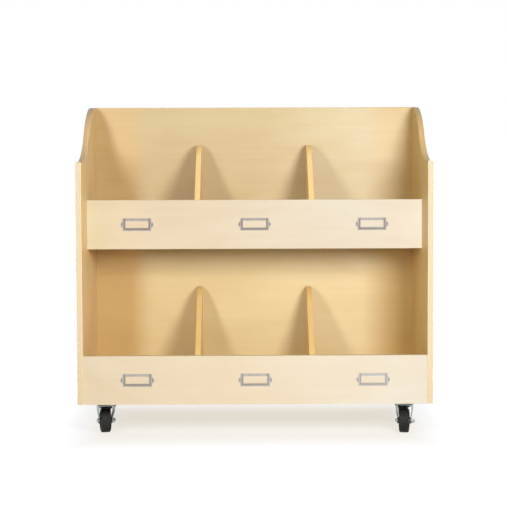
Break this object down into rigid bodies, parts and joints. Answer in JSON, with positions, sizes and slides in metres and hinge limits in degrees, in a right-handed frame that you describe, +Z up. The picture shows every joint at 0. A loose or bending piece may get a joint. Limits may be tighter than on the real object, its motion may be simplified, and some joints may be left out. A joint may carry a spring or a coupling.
{
  "type": "picture book browser bin",
  "caption": "Mobile birch plywood browser with an upper and a lower bin, dividers, pressed steel label holders and swivel casters, for picture books that stand face out.",
  "frame": {"origin": "on the floor, under the middle of the unit's footprint", "axes": "+Z up, +X along the width to the right of a person facing the front, -Y towards that person, so the front faces -Y"},
  "size_m": [1.118, 0.4086, 1.055],
  "materials": {
    "birch_ply": "satin",
    "birch_ply_back": "satin",
    "label_holder_steel": "satin",
    "zinc_steel": "satin",
    "plated_steel": "polished",
    "black_rubber": "satin",
    "black_plastic": "matte"
  },
  "bodies": {
    "cabinet": {"back_panel": "birch_ply_back", "base_deck": "birch_ply", "front_left_kingpin": "plated_steel", "front_left_mount_plate": "zinc_steel", "front_right_kingpin": "plated_steel", "front_right_mount_plate": "zinc_steel", "label_holder_pins": "label_holder_steel", "left_side_panel": "birch_ply", "lower_bin_front": "birch_ply", "lower_left_divider": "birch_ply", "lower_left_label_holder": "label_holder_steel", "lower_middle_label_holder": "label_holder_steel", "lower_right_divider": "birch_ply", "lower_right_label_holder": "label_holder_steel", "rear_left_kingpin": "plated_steel", "rear_left_mount_plate": "zinc_steel", "rear_right_kingpin": "plated_steel", "rear_right_mount_plate": "zinc_steel", "right_side_panel": "birch_ply", "upper_bin_front": "birch_ply", "upper_left_divider": "birch_ply", "upper_left_label_holder": "label_holder_steel", "upper_middle_label_holder": "label_holder_steel", "upper_right_divider": "birch_ply", "upper_right_label_holder": "label_holder_steel", "upper_shelf": "birch_ply"},
    "front_left_swivel": {"front_left_axle_bolt": "plated_steel", "front_left_axle_nut": "plated_steel", "front_left_ball_race": "plated_steel", "front_left_fork": "zinc_steel"},
    "front_left_wheel": {"front_left_wheel_hub": "black_plastic", "front_left_wheel_tread": "black_rubber"},
    "front_right_swivel": {"front_right_axle_bolt": "plated_steel", "front_right_axle_nut": "plated_steel", "front_right_ball_race": "plated_steel", "front_right_fork": "zinc_steel"},
    "front_right_wheel": {"front_right_wheel_hub": "black_plastic", "front_right_wheel_tread": "black_rubber"},
    "rear_left_swivel": {"rear_left_axle_bolt": "plated_steel", "rear_left_axle_nut": "plated_steel", "rear_left_ball_race": "plated_steel", "rear_left_fork": "zinc_steel"},
    "rear_left_wheel": {"rear_left_wheel_hub": "black_plastic", "rear_left_wheel_tread": "black_rubber"},
    "rear_right_swivel": {"rear_right_axle_bolt": "plated_steel", "rear_right_axle_nut": "plated_steel", "rear_right_ball_race": "plated_steel", "rear_right_fork": "zinc_steel"},
    "rear_right_wheel": {"rear_right_wheel_hub": "black_plastic", "rear_right_wheel_tread": "black_rubber"}
  },
  "joints": [
    {"name": "front_left_swivel", "type": "hinge", "parent": "cabinet", "child": "front_left_swivel", "pos_m": [-0.477, -0.1377, 0.09], "axis": [0, 0, 1], "continuous": true},
    {"name": "front_left_roll", "type": "hinge", "parent": "front_left_swivel", "child": "front_left_wheel", "pos_m": [-0.4799, -0.12606, 0.038], "axis": [0.9703, 0.2419, 0], "continuous": true},
    {"name": "front_right_swivel", "type": "hinge", "parent": "cabinet", "child": "front_right_swivel", "pos_m": [0.477, -0.1377, 0.09], "axis": [0, 0, 1], "continuous": true},
    {"name": "front_right_roll", "type": "hinge", "parent": "front_right_swivel", "child": "front_right_wheel", "pos_m": [0.47461, -0.14946, 0.038], "axis": [-0.9799, 0.1994, 0], "continuous": true},
    {"name": "rear_left_swivel", "type": "hinge", "parent": "cabinet", "child": "rear_left_swivel", "pos_m": [-0.507, 0.1403, 0.09], "axis": [0, 0, 1], "continuous": true},
    {"name": "rear_left_roll", "type": "hinge", "parent": "rear_left_swivel", "child": "rear_left_wheel", "pos_m": [-0.50825, 0.15223, 0.038], "axis": [0.9945, 0.1045, 0], "continuous": true},
    {"name": "rear_right_swivel", "type": "hinge", "parent": "cabinet", "child": "rear_right_swivel", "pos_m": [0.507, 0.1403, 0.09], "axis": [0, 0, 1], "continuous": true},
    {"name": "rear_right_roll", "type": "hinge", "parent": "rear_right_swivel", "child": "rear_right_wheel", "pos_m": [0.50784, 0.15227, 0.038], "axis": [0.9976, -0.0698, 0], "continuous": true}
  ]
}
